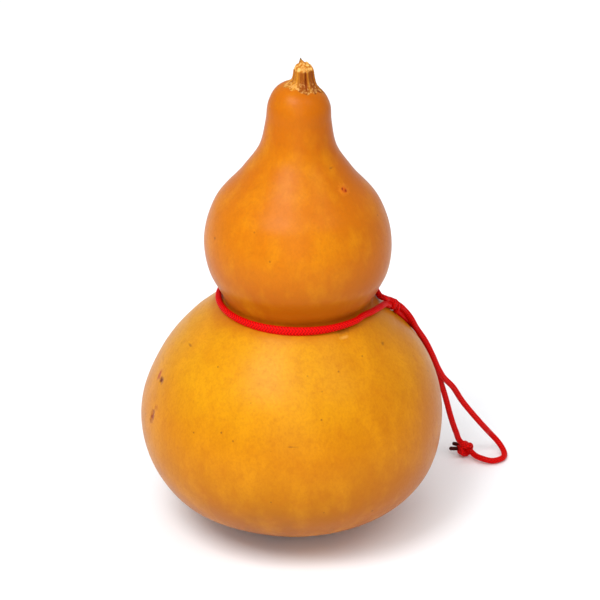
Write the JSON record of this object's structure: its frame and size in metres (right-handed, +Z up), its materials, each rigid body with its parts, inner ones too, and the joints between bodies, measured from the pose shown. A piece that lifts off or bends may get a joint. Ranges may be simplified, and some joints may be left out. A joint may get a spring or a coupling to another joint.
{
  "type": "dried bottle gourd with tied cord",
  "caption": "Dried two-bulbed bottle gourd on its base, stub of stem on top, a red braided cord tied round the waist and hanging to the floor.",
  "frame": {"origin": "centre of the flat face the gourd stands on", "axes": "+Z up through the stem, +X to the side where the cord hangs, -Y the side seen"},
  "size_m": [0.1744, 0.1388, 0.2238],
  "materials": {
    "gourd_skin": "polished, semi-gloss dried rind",
    "stem_wood": "dry, matt, ridged",
    "red_cord": "satin braid",
    "sealed_tip": "melted cord end"
  },
  "bodies": {
    "root": {"gourd": "gourd_skin", "stem": "stem_wood", "waist_cord": "red_cord", "waist_knot": "red_cord", "short_leg": "red_cord", "long_leg": "red_cord", "end_knot": "red_cord", "tail_upper": "sealed_tip", "tail_lower": "sealed_tip"}
  },
  "joints": []
}
